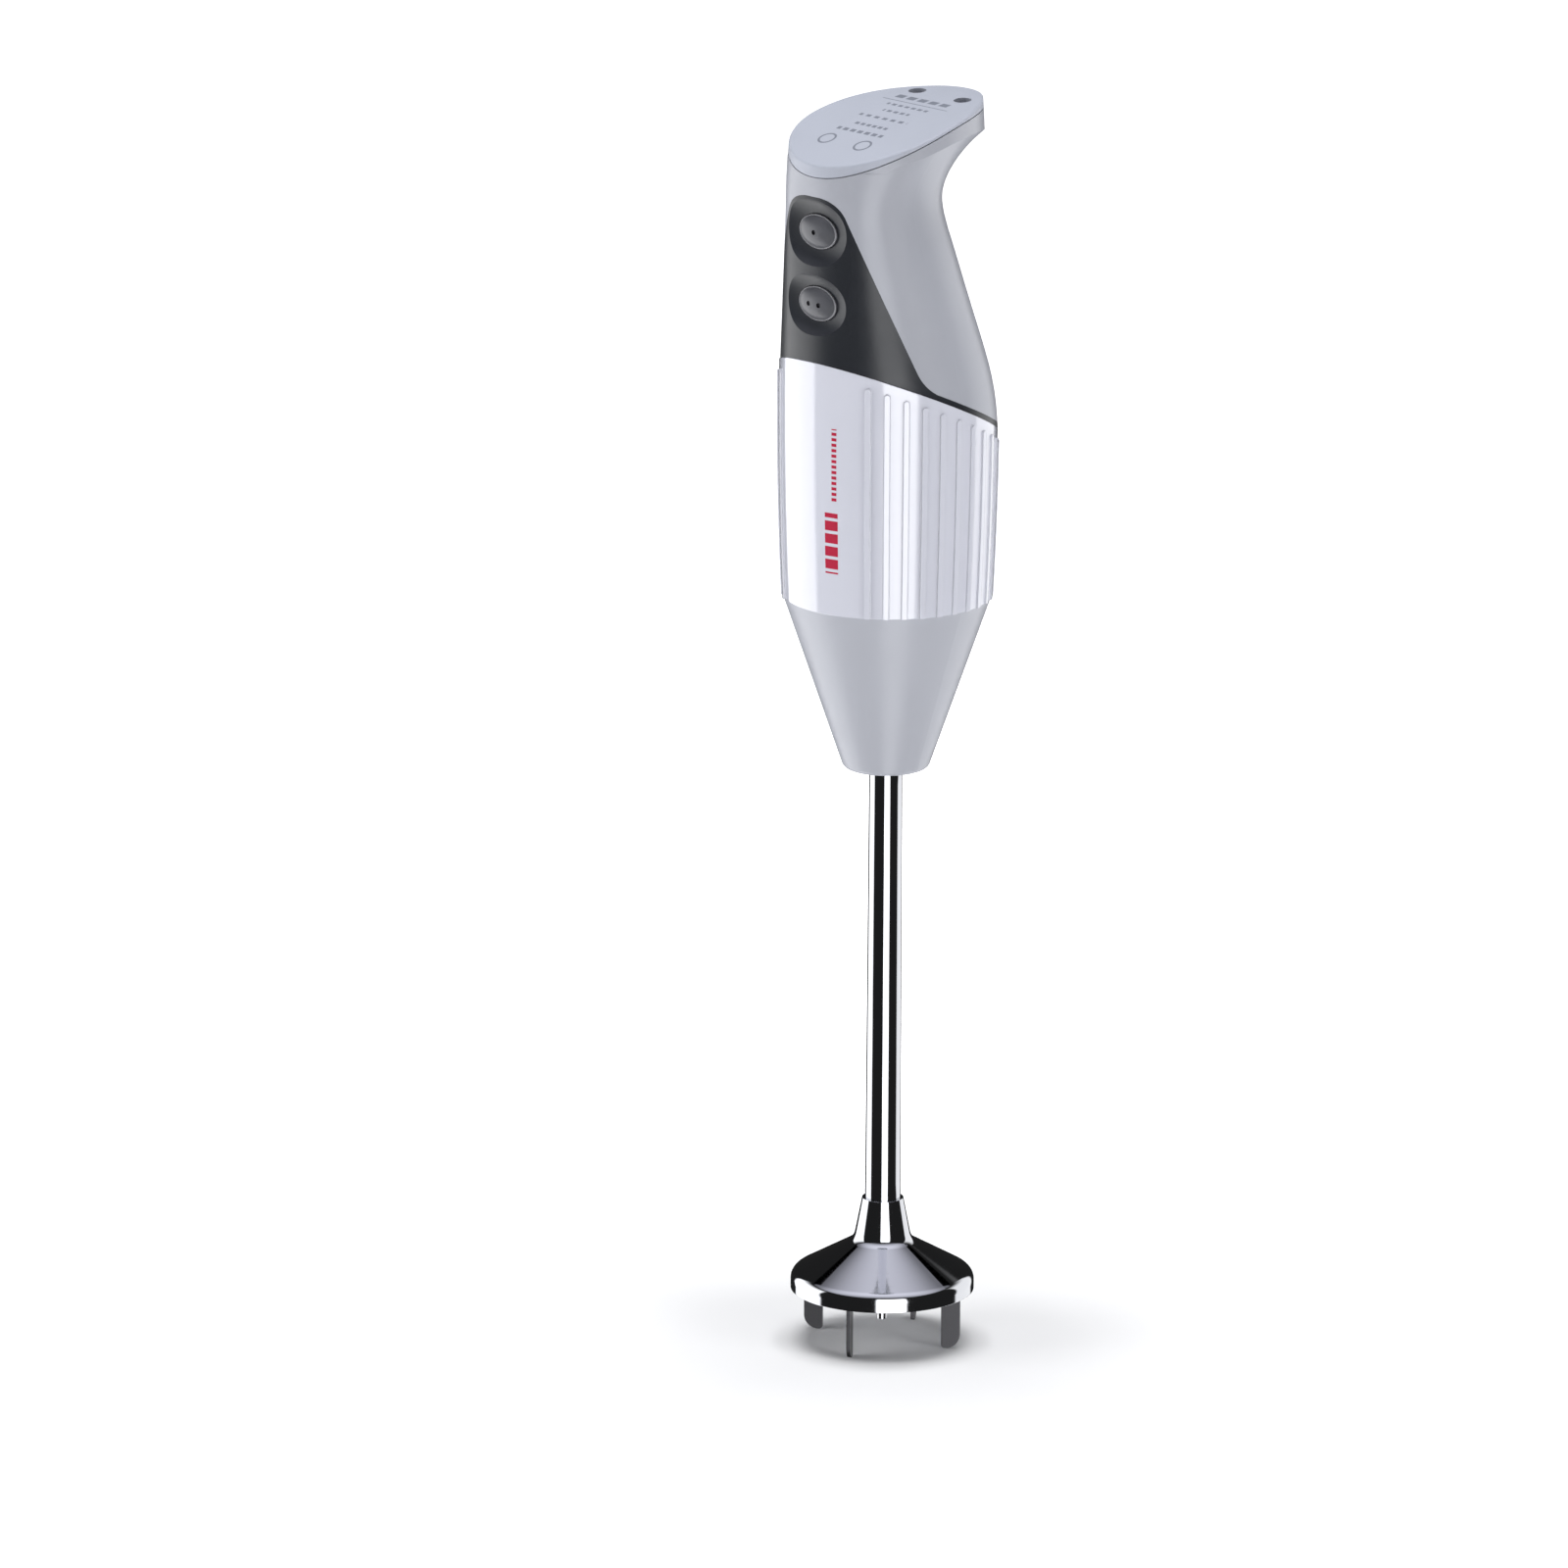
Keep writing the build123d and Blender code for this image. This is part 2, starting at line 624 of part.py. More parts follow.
with BuildPart() as board_screws:
    add(cross_rods(board_posts, 1.2, BOARD_FRONT - 4.0, BOARD_BACK))
    add(cross_rods(board_posts, 2.3, BOARD_BACK, BOARD_BACK + 1.6))
board_screws.part.label = "board_screws"
export_step(board_screws.part, "parts/board_screws.step")

with BuildPart() as suppression_capacitor:
    add(block((-9, 9), (BOARD_BACK, BOARD_BACK + 8), (BOARD_HEIGHTS[0] + 2, BOARD_HEIGHTS[0] + 16)))
    fillet(edges(), 0.8)
suppression_capacitor.part.label = "suppression_capacitor"
export_step(suppression_capacitor.part, "parts/suppression_capacitor.step")

with BuildPart() as speed_diode:
    with Locations(Location((0, BOARD_BACK + 1.6, BOARD_SCREW_HEIGHT + 10), (0, 90, 0))):
        Cylinder(1.6, 6.0)
        Cylinder(0.4, 12.0)
speed_diode.part.label = "speed_diode"
export_step(speed_diode.part, "parts/speed_diode.step")


# ---- casing and nose ----------------------------------------------------------------


def casing_wall(outside, inside):
    """The casing's long turned wall between two offsets from its outer surface."""
    top = BODY_FULL_HEIGHT + BODY_RADIUS
    with BuildPart() as wall:
        with BuildSketch(Plane.XZ):
            with BuildLine():
                for offset in (outside, inside):
                    high = (BODY_RADIUS + offset, BODY_FULL_HEIGHT)
                    TangentArc(high, (CASING_BOTTOM_RADIUS + offset, CASING_BOTTOM), tangent=(0, -1))
                    Line(high, (BODY_RADIUS + offset, top))
                Line((BODY_RADIUS + outside, top), (BODY_RADIUS + inside, top))
                Line(
                    (CASING_BOTTOM_RADIUS + outside, CASING_BOTTOM),
                    (CASING_BOTTOM_RADIUS + inside, CASING_BOTTOM),
                )
            make_face()
        revolve(axis=Axis.Z)
    return wall.part


def rib_prism(turn):
    """An upright bar with a round top, across the wall where one grip rib stands."""
    across = Vector(cos(radians(turn)), sin(radians(turn)), 0)
    outward = Vector(across.Y, -across.X, 0)
    top = cut_height(BODY_RADIUS * outward.Y) - RIB_TOP_GAP - RIB_WIDTH / 2
    with BuildPart() as bar:
        with BuildSketch(Plane(origin=outward * (CASING_BOTTOM_RADIUS - WALL), x_dir=across, z_dir=outward)):
            with Locations((0, (top + NOSE_BOTTOM) / 2)):
                Rectangle(RIB_WIDTH, top - NOSE_BOTTOM)
            with Locations((0, top)):
                Circle(RIB_WIDTH / 2)
        extrude(amount=3 * WALL)
    return bar.part


rib_spacing = (360 - 2 * RIB_FIRST_ANGLE) / (RIB_COUNT - 1)

with BuildPart() as grip_ribs:
    for step in range(RIB_COUNT):
        add(rib_prism(RIB_FIRST_ANGLE + rib_spacing * step))
    add(casing_wall(RIB_HEIGHT, -RIB_HEIGHT), mode=Mode.INTERSECT)

with BuildPart() as motor_casing:
    add(casing_wall(0, -WALL))
    add(below_cut(0), mode=Mode.INTERSECT)
    add(grip_ribs.part)
motor_casing.part.label = "motor_casing"
export_step(motor_casing.part, "parts/motor_casing.step")

with BuildPart() as nose_cone:
    nose_profile = [
        (TUBE_TOP_RADIUS, NOSE_BOTTOM),
        (NOSE_BOTTOM_RADIUS, NOSE_BOTTOM),
        (CASING_BOTTOM_RADIUS, CASING_BOTTOM),
        (SPIGOT_OUTER, CASING_BOTTOM),
        (SPIGOT_OUTER, BRACKET_SEAT),
        (SPIGOT_INNER, BRACKET_SEAT),
        (SPIGOT_INNER, 232.76),
        (11.9, NOSE_BOTTOM + 3.5),
        (8.5, NOSE_BOTTOM + 3.5),
        (8.5, NUT_BOTTOM),
        (TUBE_TOP_RADIUS, NUT_BOTTOM),
        (TUBE_TOP_RADIUS, SEAL_GROOVE[1]),
        (SEAL_GROOVE_RADIUS, SEAL_GROOVE[1]),
        (SEAL_GROOVE_RADIUS, SEAL_GROOVE[0]),
        (TUBE_TOP_RADIUS, SEAL_GROOVE[0]),
    ]
    add(turned(nose_profile))
    rim = edges().filter_by(GeomType.CIRCLE).sort_by(Axis.Z).group_by(Axis.Z)[0].sort_by(SortBy.RADIUS)[-1]
    fillet(rim, NOSE_EDGE_ROUND)
nose_cone.part.label = "nose_cone"
export_step(nose_cone.part, "parts/nose_cone.step")

with BuildPart() as tube_seal_ring:
    ring_radius = (SEAL_GROOVE[1] - SEAL_GROOVE[0]) / 2 - 0.05
    with Locations((0, 0, sum(SEAL_GROOVE) / 2)):
        Torus(TUBE_TOP_RADIUS + ring_radius, ring_radius)
tube_seal_ring.part.label = "tube_seal_ring"
export_step(tube_seal_ring.part, "parts/tube_seal_ring.step")

with BuildPart() as tube_lock_nut:
    with BuildSketch(Plane.XY.offset(NUT_BOTTOM)):
        RegularPolygon(8.5, 6, major_radius=False)
        Circle(TUBE_TOP_RADIUS, mode=Mode.SUBTRACT)
    extrude(amount=5.0)
tube_lock_nut.part.label = "tube_lock_nut"
export_step(tube_lock_nut.part, "parts/tube_lock_nut.step")


# ---- long shaft and blade guard -----------------------------------------------------

with BuildPart() as shaft_tube:
    tube_profile = [
        (TUBE_BORE, TUBE_BOTTOM),
        (TUBE_BOTTOM_RADIUS, TUBE_BOTTOM),
        (TUBE_BOTTOM_RADIUS, NECK_TOP),
        (TUBE_TOP_RADIUS, NOSE_BOTTOM),
        (TUBE_TOP_RADIUS, TUBE_TOP),
        (TUBE_BORE, TUBE_TOP),
    ]
    add(turned(tube_profile))
shaft_tube.part.label = "shaft_tube"
export_step(shaft_tube.part, "parts/shaft_tube.step")

with BuildPart() as lower_shaft_bush:
    add(ring(TUBE_BORE, SPINDLE_RADIUS + FIT, TUBE_BOTTOM + 1, TUBE_BOTTOM + 9))
lower_shaft_bush.part.label = "lower_shaft_bush"
export_step(lower_shaft_bush.part, "parts/lower_shaft_bush.step")

with BuildPart() as middle_shaft_bush:
    add(ring(TUBE_BORE, SPINDLE_RADIUS + FIT, 112.0, 120.0))
middle_shaft_bush.part.label = "middle_shaft_bush"
export_step(middle_shaft_bush.part, "parts/middle_shaft_bush.step")

with BuildPart() as upper_shaft_bush:
    add(ring(TUBE_BORE, SPINDLE_RADIUS + FIT, TUBE_TOP - 13, TUBE_TOP - 5))
upper_shaft_bush.part.label = "upper_shaft_bush"
export_step(upper_shaft_bush.part, "parts/upper_shaft_bush.step")

with BuildPart() as shaft_seal:
    add(ring(SHAFT_SEAL_RADIUS, SPINDLE_RADIUS + FIT, BELL_CEILING, SHAFT_SEAL_TOP))
shaft_seal.part.label = "shaft_seal"
export_step(shaft_seal.part, "parts/shaft_seal.step")

with BuildPart() as blade_guard:
    with BuildSketch(Plane.XZ):
        with BuildLine():
            Polyline(
                (2.6, TUBE_BOTTOM),
                (2.6, SHAFT_SEAL_TOP),
                (SHAFT_SEAL_RADIUS, SHAFT_SEAL_TOP),
                (SHAFT_SEAL_RADIUS, BELL_CEILING),
                (NECK_BASE_RADIUS, BELL_CEILING),
                (RIM_RADIUS - GUARD_WALL - 1.0, RIM_CORNER - 0.7),
                (RIM_RADIUS - GUARD_WALL, RIM_CORNER - 1.9),
                (RIM_RADIUS - GUARD_WALL, RIM_BOTTOM),
                (RIM_RADIUS, RIM_BOTTOM),
                (RIM_RADIUS, RIM_CORNER),
                (NECK_BASE_RADIUS, SKIRT_TOP),
                (NECK_TOP_RADIUS, NECK_TOP),
                (TUBE_BOTTOM_RADIUS, NECK_TOP),
                (TUBE_BOTTOM_RADIUS, TUBE_BOTTOM),
                close=True,
            )
        make_face()
        rim_corner = vertices().sort_by_distance((RIM_RADIUS, RIM_CORNER))[0]
        fillet(rim_corner, RIM_ROUND)
        neck_corner = vertices().sort_by_distance((NECK_BASE_RADIUS, SKIRT_TOP))[0]
        fillet(neck_corner, NECK_FILLET)
    revolve(axis=Axis.Z)
    for step in range(LEG_COUNT):
        turn = FIRST_LEG_ANGLE + step * 360 / LEG_COUNT
        foot = Vector(LEG_PLACE, 0, 0).rotate(Axis.Z, turn)
        along = Vector(1, 0, 0).rotate(Axis.Z, turn + LEG_TWIST)
        with BuildSketch(Plane(origin=foot, x_dir=along, z_dir=along.cross(Vector(0, 0, 1)))):
            with BuildLine():
                Polyline(
                    (-LEG_HALF_WIDTH, 0),
                    (LEG_HALF_WIDTH, 0),
                    (LEG_HALF_WIDTH, LEG_TOPS[1]),
                    (-LEG_HALF_WIDTH, LEG_TOPS[0]),
                    close=True,
                )
            make_face()
            fillet(vertices().sort_by_distance((LEG_HALF_WIDTH, 0))[0], LEG_OUTER_CORNER)
            fillet(vertices().sort_by_distance((-LEG_HALF_WIDTH, 0))[0], LEG_INNER_CORNER)
        extrude(amount=LEG_THICKNESS / 2, both=True)
blade_guard.part.label = "blade_guard"
export_step(blade_guard.part, "parts/blade_guard.step")


# ---- motor, fixed parts -------------------------------------------------------------

motor_screw_places = [(0, -MOTOR_SCREW_Y), (0, MOTOR_SCREW_Y)]

with BuildPart() as stator_core:
    with BuildSketch(Plane.XY.offset(CORE_BOTTOM)):
        Circle(CORE_RADIUS)
        Rectangle(CORE_WIDTH, 2 * CORE_RADIUS, mode=Mode.INTERSECT)
        Circle(CORE_BORE, mode=Mode.SUBTRACT)
        with GridLocations(25.6, 34.6, 2, 2):
            Rectangle(5.0, 4.6, mode=Mode.SUBTRACT)
        with GridLocations(23.0, 22.7, 2, 2):
            Rectangle(2.0, 7.7, mode=Mode.SUBTRACT)
        with Locations(*motor_screw_places):
            Circle(1.6, mode=Mode.SUBTRACT)
    extrude(amount=CORE_TOP - CORE_BOTTOM)
stator_core.part.label = "stator_core"
export_step(stator_core.part, "parts/stator_core.step")

with BuildPart() as field_coils:
    for side in (-1, 1):
        with BuildSketch(Plane.XZ.offset(-side * 17.3)):
            with Locations((0, sum(COIL_HEIGHTS) / 2)):
                RectangleRounded(30.0, COIL_HEIGHTS[1] - COIL_HEIGHTS[0], 3.0)
                Rectangle(20.8, CORE_TOP - CORE_BOTTOM + 0.2, mode=Mode.SUBTRACT)
        extrude(amount=2.1, both=True)
field_coils.part.label = "field_coils"
export_step(field_coils.part, "parts/field_coils.step")

with BuildPart() as motor_mount_ring:
    add(ring(30.1, CORE_RADIUS, 256.0, 262.0))
motor_mount_ring.part.label = "motor_mount_ring"
export_step(motor_mount_ring.part, "parts/motor_mount_ring.step")

with BuildPart() as lower_motor_bracket:
    with BuildSketch(Plane.XY.offset(BRACKET_BOTTOM)):
        Circle(SPIGOT_INNER - 0.5)
        Circle(21.0, mode=Mode.SUBTRACT)
        Rectangle(43.0, 7.0)
        Rectangle(7.0, 43.0)
    extrude(amount=BRACKET_SEAT - BRACKET_BOTTOM)
    add(ring(SPIGOT_OUTER, SPIGOT_INNER - 2.4, BRACKET_SEAT, BRACKET_SEAT + 2.5))
    add(ring(SPIGOT_INNER - 0.5, SPIGOT_INNER - 2.4, BRACKET_SEAT - 1, BRACKET_SEAT + 1))
    add(rods([(0, 0)], 8.5, BRACKET_BOTTOM - 6, BRACKET_SEAT))
    add(rods(motor_screw_places, 3.0, BRACKET_SEAT - 1, CORE_BOTTOM))
    add(rods([(0, 0)], 6.0, BRACKET_BOTTOM - 6, BRACKET_SEAT), mode=Mode.SUBTRACT)
    add(rods(motor_screw_places, 1.5, BRACKET_BOTTOM, CORE_BOTTOM), mode=Mode.SUBTRACT)
lower_motor_bracket.part.label = "lower_motor_bracket"
export_step(lower_motor_bracket.part, "parts/lower_motor_bracket.step")

with BuildPart() as lower_motor_bearing:
    add(ring(6.0, BEARING_FIT_RADIUS, BRACKET_BOTTOM - 5, BRACKET_BOTTOM + 2))
lower_motor_bearing.part.label = "lower_motor_bearing"
export_step(lower_motor_bearing.part, "parts/lower_motor_bearing.step")

with BuildPart() as upper_motor_bracket:
    with BuildSketch(Plane.XY.offset(UPPER_PLATE[0])):
        Rectangle(20.0, 2 * (MOTOR_SCREW_Y + 2.7))
        Rectangle(48.0, 12.0)
        Circle(MOTOR_SCREW_Y + 2.7, mode=Mode.INTERSECT)
    extrude(amount=UPPER_PLATE[1] - UPPER_PLATE[0])
    add(rods([(0, 0)], 8.0, UPPER_PLATE[0], UPPER_PLATE[1] + 5.5))
    add(rods(motor_screw_places, 3.0, CORE_TOP, UPPER_PLATE[0]))
    for side in (-1, 1):
        add(block(sorted((side * 12, side * 22)), (-4, 4), (BRUSH_HEIGHT + 4, UPPER_PLATE[0])))
    add(rods([(0, 0)], 3.2, UPPER_PLATE[0], UPPER_PLATE[1] + 5.5), mode=Mode.SUBTRACT)
    add(rods([(0, 0)], 5.5, UPPER_PLATE[0] + 1.5, UPPER_PLATE[1] + 5.5), mode=Mode.SUBTRACT)
    add(rods(motor_screw_places, 1.6, CORE_TOP, UPPER_PLATE[1]), mode=Mode.SUBTRACT)
upper_motor_bracket.part.label = "upper_motor_bracket"
export_step(upper_motor_bracket.part, "parts/upper_motor_bracket.step")

with BuildPart() as upper_motor_bearing:
    add(ring(5.5, BEARING_FIT_RADIUS, UPPER_PLATE[0] + 1.5, UPPER_PLATE[0] + 7.5))
upper_motor_bearing.part.label = "upper_motor_bearing"
export_step(upper_motor_bearing.part, "parts/upper_motor_bearing.step")

with BuildPart() as motor_screws:
    add(rods(motor_screw_places, 1.5, BRACKET_BOTTOM, UPPER_PLATE[1]))
    add(rods(motor_screw_places, 2.8, UPPER_PLATE[1], UPPER_PLATE[1] + 2.5))
motor_screws.part.label = "motor_screws"
export_step(motor_screws.part, "parts/motor_screws.step")

with BuildPart() as brush_holders:
    for side in (-1, 1):
        with BuildSketch(Plane.YZ.offset(side * 9.0)):
            with Locations((0, BRUSH_HEIGHT)):
                Rectangle(8.0, 8.0)
                Rectangle(6.0, 6.0, mode=Mode.SUBTRACT)
        extrude(amount=side * 16.0)
        add(block(sorted((side * 25, side * 26)), (-4, 4), (BRUSH_HEIGHT - 4, BRUSH_HEIGHT + 4)))
brush_holders.part.label = "brush_holders"
export_step(brush_holders.part, "parts/brush_holders.step")

with BuildPart() as carbon_brushes:
    for side in (-1, 1):
        width = (-2.95, 2.95)
        add(block(sorted((side * 7.5, side * 18)), width, [BRUSH_HEIGHT + limit for limit in width]))
    add(rods([(0, 0)], COMMUTATOR_RADIUS + 0.1, COMMUTATOR_BOTTOM, COMMUTATOR_TOP), mode=Mode.SUBTRACT)
carbon_brushes.part.label = "carbon_brushes"
export_step(carbon_brushes.part, "parts/carbon_brushes.step")

with BuildPart() as brush_springs:
    for side in (-1, 1):
        with BuildLine(mode=Mode.PRIVATE) as coil:
            Helix(1.05, 6.3, 2.0, center=(side * 18.35, 0, BRUSH_HEIGHT), direction=(side, 0, 0))
        wire = coil.wire()
        with BuildSketch(Plane(origin=wire @ 0, z_dir=wire % 0)):
            Circle(0.3)
        sweep(path=wire, is_frenet=True)
brush_springs.part.label = "brush_springs"
export_step(brush_springs.part, "parts/brush_springs.step")


# ---- everything that turns ----------------------------------------------------------


def jaws(turn, bottom, top):
    """Two opposite driving jaws of the coupling."""
    with BuildPart() as pair:
        with BuildSketch(Plane.XY.offset(bottom)):
            Rectangle(2 * COUPLING_RADIUS, JAW_WIDTH, rotation=turn)
            Circle(COUPLING_RADIUS, mode=Mode.INTERSECT)
            Circle(JAW_INNER, mode=Mode.SUBTRACT)
        extrude(amount=top - bottom)
    return pair.part


disc_top = COUPLING_BASE + DISC_THICKNESS
upper_disc = disc_top + COUPLING_GAP

with BuildPart() as drive_shaft:
    groove_radius = FREE_END_RADIUS - SPINDLE_GROOVE_DEPTH
    shaft_profile = [
        (0, SPINDLE_BOTTOM),
        (SPINDLE_TIP_RADIUS, SPINDLE_BOTTOM),
        (SPINDLE_TIP_RADIUS, SPINDLE_BOTTOM + SPINDLE_TIP_LENGTH),
        (FREE_END_RADIUS, SPINDLE_BOTTOM + SPINDLE_TIP_LENGTH),
        (FREE_END_RADIUS, SPINDLE_BOTTOM + 3),
        (groove_radius, SPINDLE_BOTTOM + 3),
        (groove_radius, SPINDLE_BOTTOM + 4),
        (FREE_END_RADIUS, SPINDLE_BOTTOM + 4),
        (FREE_END_RADIUS, SPINDLE_SHOULDER),
        (SPINDLE_RADIUS, SPINDLE_SHOULDER),
        (SPINDLE_RADIUS, SPINDLE_TOP),
        (0, SPINDLE_TOP),
    ]
    add(turned(shaft_profile))
drive_shaft.part.label = "drive_shaft"
export_step(drive_shaft.part, "parts/drive_shaft.step")

with BuildPart() as drive_hub:
    add(ring(COUPLING_RADIUS, SPINDLE_RADIUS, COUPLING_BASE, disc_top))
    add(jaws(0, disc_top, upper_disc - JAW_CLEARANCE))
drive_hub.part.label = "drive_hub"
export_step(drive_hub.part, "parts/drive_hub.step")

with BuildPart() as coupling_spider:
    with BuildSketch(Plane.XY.offset(disc_top + JAW_CLEARANCE)):
        Circle(JAW_INNER - 0.1)
        with Locations(Rotation(0, 0, 45)):
            Rectangle(2 * COUPLING_RADIUS - 0.2, 1.6)
            Rectangle(1.6, 2 * COUPLING_RADIUS - 0.2)
    extrude(amount=COUPLING_GAP - 3 * JAW_CLEARANCE)
coupling_spider.part.label = "coupling_spider"
export_step(coupling_spider.part, "parts/coupling_spider.step")

with BuildPart() as motor_hub:
    add(ring(COUPLING_RADIUS, MOTOR_SHAFT_RADIUS, upper_disc, upper_disc + DISC_THICKNESS))
    add(jaws(90, disc_top + JAW_CLEARANCE, upper_disc))
motor_hub.part.label = "motor_hub"
export_step(motor_hub.part, "parts/motor_hub.step")

with BuildPart() as motor_shaft:
    add(rods([(0, 0)], MOTOR_SHAFT_RADIUS, upper_disc + JAW_CLEARANCE, MOTOR_SHAFT_TOP))
motor_shaft.part.label = "motor_shaft"
export_step(motor_shaft.part, "parts/motor_shaft.step")

with BuildPart() as armature_core:
    with BuildSketch(Plane.XY.offset(CORE_BOTTOM)):
        Circle(ARMATURE_RADIUS)
        Circle(MOTOR_SHAFT_RADIUS, mode=Mode.SUBTRACT)
        with PolarLocations(SLOT_PLACE, ARMATURE_SLOTS):
            Circle(SLOT_RADIUS, mode=Mode.SUBTRACT)
        with PolarLocations(SLOT_PLACE + 2.5, ARMATURE_SLOTS):
            Rectangle(5.0, 1.4, mode=Mode.SUBTRACT)
    extrude(amount=CORE_TOP - CORE_BOTTOM)
armature_core.part.label = "armature_core"
export_step(armature_core.part, "parts/armature_core.step")

with BuildPart() as armature_windings:
    with BuildSketch(Plane.XY.offset(CORE_BOTTOM)):
        with PolarLocations(SLOT_PLACE, ARMATURE_SLOTS):
            Circle(SLOT_RADIUS - 0.2)
    extrude(amount=CORE_TOP - CORE_BOTTOM)
    add(ring(12.6, 4.0, COIL_HEIGHTS[0], CORE_BOTTOM))
    add(ring(12.6, 4.0, CORE_TOP, COIL_HEIGHTS[1] + 1.2))
armature_windings.part.label = "armature_windings"
export_step(armature_windings.part, "parts/armature_windings.step")

with BuildPart() as commutator:
    add(ring(COMMUTATOR_RADIUS, MOTOR_SHAFT_RADIUS, COMMUTATOR_BOTTOM, COMMUTATOR_TOP))
    with BuildSketch(Plane.XY.offset(COMMUTATOR_BOTTOM)):
        with PolarLocations(COMMUTATOR_RADIUS, COMMUTATOR_BARS):
            Rectangle(1.6, 0.4)
    extrude(amount=COMMUTATOR_TOP - COMMUTATOR_BOTTOM, mode=Mode.SUBTRACT)
commutator.part.label = "commutator"
export_step(commutator.part, "parts/commutator.step")
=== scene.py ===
import json
from math import cos, pi, radians, sin

import bpy
from mathutils import Matrix, Vector


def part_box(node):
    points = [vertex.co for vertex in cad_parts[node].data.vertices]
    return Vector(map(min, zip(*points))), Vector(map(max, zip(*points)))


# Looks, light and camera for the wand blender.  Metres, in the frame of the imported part:
# +Z runs up the shaft, the buttons face -Y and the beak of the handle points to +Y.
# An azimuth is measured about Z from the front (-Y) towards +X.

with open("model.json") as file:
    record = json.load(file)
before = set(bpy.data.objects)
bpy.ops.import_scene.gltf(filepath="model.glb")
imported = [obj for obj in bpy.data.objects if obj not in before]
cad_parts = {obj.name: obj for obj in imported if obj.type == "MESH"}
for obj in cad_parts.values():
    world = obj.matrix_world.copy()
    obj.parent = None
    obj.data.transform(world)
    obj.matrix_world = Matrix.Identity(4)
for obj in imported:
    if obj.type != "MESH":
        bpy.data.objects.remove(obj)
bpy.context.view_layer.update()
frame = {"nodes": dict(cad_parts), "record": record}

CAMERA_AZIMUTH = 44.7
CAMERA_DISTANCE = 4.0
CAMERA_HEIGHT = 1.25
CAMERA_TARGET = (-0.01814, -0.02585, 0.17862)
CAMERA_ROLL = 0.30
CAMERA_LENS = 310.75
SENSOR_WIDTH = 36.0

FLOOR_HALF_SIZE = 20.0
FLOOR_GLOW_REACH = (0.03, 0.3)
FLOOR_GLOW = 0.95

# The dark studio that reflections show: three upright soft boxes between azimuths in
# degrees, the last of which runs on past 180, and one soft box overhead.
SURROUND_RADIUS = 0.7
SURROUND_HEIGHTS = (-1.6, 0.62)
SURROUND_STEPS = 72
SURROUND_FADE = (0.30, 0.58)
LEFT_BOX = (-93, -38)
FRONT_BOX = (38, 75)
BACK_BOX_START = 149
BACK_BOX_END = (-172, -166)
BOX_EDGE = 2.5
BOX_BRIGHTNESS = 3.2
LEFT_BOX_SHARE = 0.62
BACK_BOX_SHARE = 0.42
STUDIO_BRIGHTNESS = 0.02
CEILING_HEIGHT = 1.5
CEILING_OFFSET = 0.2
CEILING_HALF_SIZE = (2.2, 1.3)
CEILING_FADE = (2.6, 1.5)
CEILING_BRIGHTNESS = (1.25, 0.2)
LAMP_AIM = 0.25
WORLD_BRIGHTNESS = 0.08

SHARP_ANGLE = radians(32)
CASING_EDGE_ROUND = 0.0004
GUARD_EDGE_ROUND = 0.00015
GROUND_BELOW = (0.0160, 0.0166)  # the guard's legs are only ground, its rim is chromed

# Printed marks.  Casing rows: azimuth and half width in degrees, then height, half
# height, pitch and inked share.  Cap rows: place and half height along the cap, half
# width, pitch and inked share.
CASING_ROWS = (
    (13.4, 4.0, 0.2600, 0.0095, 0.0040, 0.76),
    (15.2, 1.5, 0.2843, 0.0115, 0.0017, 0.58),
)
CAP_LINE = (0.0104, 0.0002, 0.0135)
CAP_ROWS = (
    (0.0140, 0.0013, 0.0115, 0.0046, 0.72),
    (0.0072, 0.0007, 0.0085, 0.0027, 0.62),
    (0.0024, 0.0007, 0.0055, 0.0027, 0.62),
    (-0.0030, 0.0007, 0.0100, 0.0034, 0.55),
    (-0.0085, 0.0007, 0.0070, 0.0024, 0.66),
    (-0.0130, 0.0008, 0.0095, 0.0030, 0.66),
)
CAP_RING_CENTRES = ((-0.0075, -0.0195), (0.0075, -0.0195))
CAP_RING_RADIUS = 0.0026
CAP_RING_HALF_LINE = 0.00035
CAP_PRINT_ABOVE = 0.3745
CAP_INK_STRENGTH = 0.7

BUTTON_DOTS = {"upper_button": (0.0,), "lower_button": (-0.0021, 0.0021)}
BUTTON_DOT_RADIUS = 0.00078
BUTTON_HALF_SIZE = (0.008, 0.0054)
# Painted highlight on each button's rim: the ring's place and half width, in the button's own
# proportions.
BUTTON_HIGHLIGHT_RING = (0.95, 0.06)
BUTTON_FRONT = -0.0304
WIRE_PITCH = 0.0006

LIGHT_GREY = (0.32, 0.33, 0.37)
STEEL = (0.60, 0.60, 0.62)
CHROME = (0.56, 0.57, 0.60)
ALONG_SHAFT = (6, 6, 0.4)
AROUND_SHAFT = (0.4, 0.4, 8)
NOISE_RANGE = (0.3, 0.7)


def direction(azimuth):
    """Horizontal unit vector at one azimuth."""
    return Vector((sin(radians(azimuth)), -cos(radians(azimuth)), 0))


# ---- materials ----------------------------------------------------------------------


